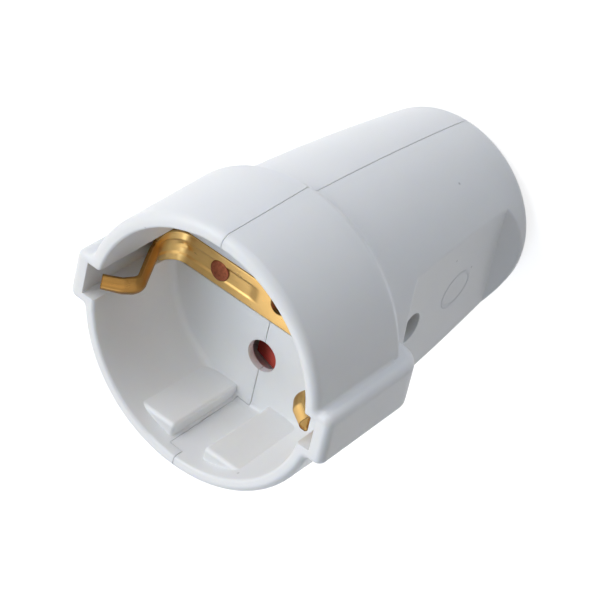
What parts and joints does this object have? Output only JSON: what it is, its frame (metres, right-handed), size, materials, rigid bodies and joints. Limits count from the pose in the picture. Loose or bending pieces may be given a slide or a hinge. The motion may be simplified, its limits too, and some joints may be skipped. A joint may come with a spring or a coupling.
{
  "type": "rewirable socket",
  "caption": "Rewirable in-line trailing socket: a round white two-shell body with a deep plug well, side earth clips, shuttered pin holes and a waisted handle with flat grip scoops.",
  "frame": {"origin": "centre of the tail face, on which the socket stands", "axes": "+Z from the tail to the rim, out of the plug well; X through the two earth clips; Y through the two pin holes"},
  "size_m": [0.0488, 0.044, 0.061],
  "materials": {
    "housing": "moulded thermoplastic, soft gloss",
    "earth_brass": "rolled and folded strip, bright",
    "copper_rivet": "dull copper",
    "contact_brass": "rolled sheet",
    "spring_steel": "bright",
    "screw_steel": "zinc plated",
    "shutter_red": "moulded, satin",
    "inner_plastic": "moulded, satin"
  },
  "bodies": {
    "housing": {"shell_left": "housing", "shell_right": "housing", "earth_strip": "earth_brass", "earth_rivet": "copper_rivet", "earth_link": "contact_brass", "shutter_spring": "spring_steel", "shutter_guide": "inner_plastic", "housing_screw": "screw_steel", "housing_nut": "screw_steel", "cord_clamp_bar": "inner_plastic", "cord_clamp_screws": "screw_steel", "line_terminal": "contact_brass", "line_terminal_screw": "screw_steel", "line_pressure_plate": "contact_brass", "neutral_terminal": "contact_brass", "neutral_terminal_screw": "screw_steel", "neutral_pressure_plate": "contact_brass", "earth_terminal": "contact_brass", "earth_terminal_screw": "screw_steel", "earth_pressure_plate": "contact_brass", "line_contact": "contact_brass", "line_contact_clip": "spring_steel", "neutral_contact": "contact_brass", "neutral_contact_clip": "spring_steel"},
    "shutter": {"shutter": "shutter_red"}
  },
  "joints": [
    {"name": "shutter_slide", "type": "slide", "parent": "housing", "child": "shutter", "axis": [1, 0, 0], "range_m": [0, 0.0065], "stiffness_N_per_m": 120, "springref_m": -0.002, "deforming": ["shutter_spring"]}
  ]
}
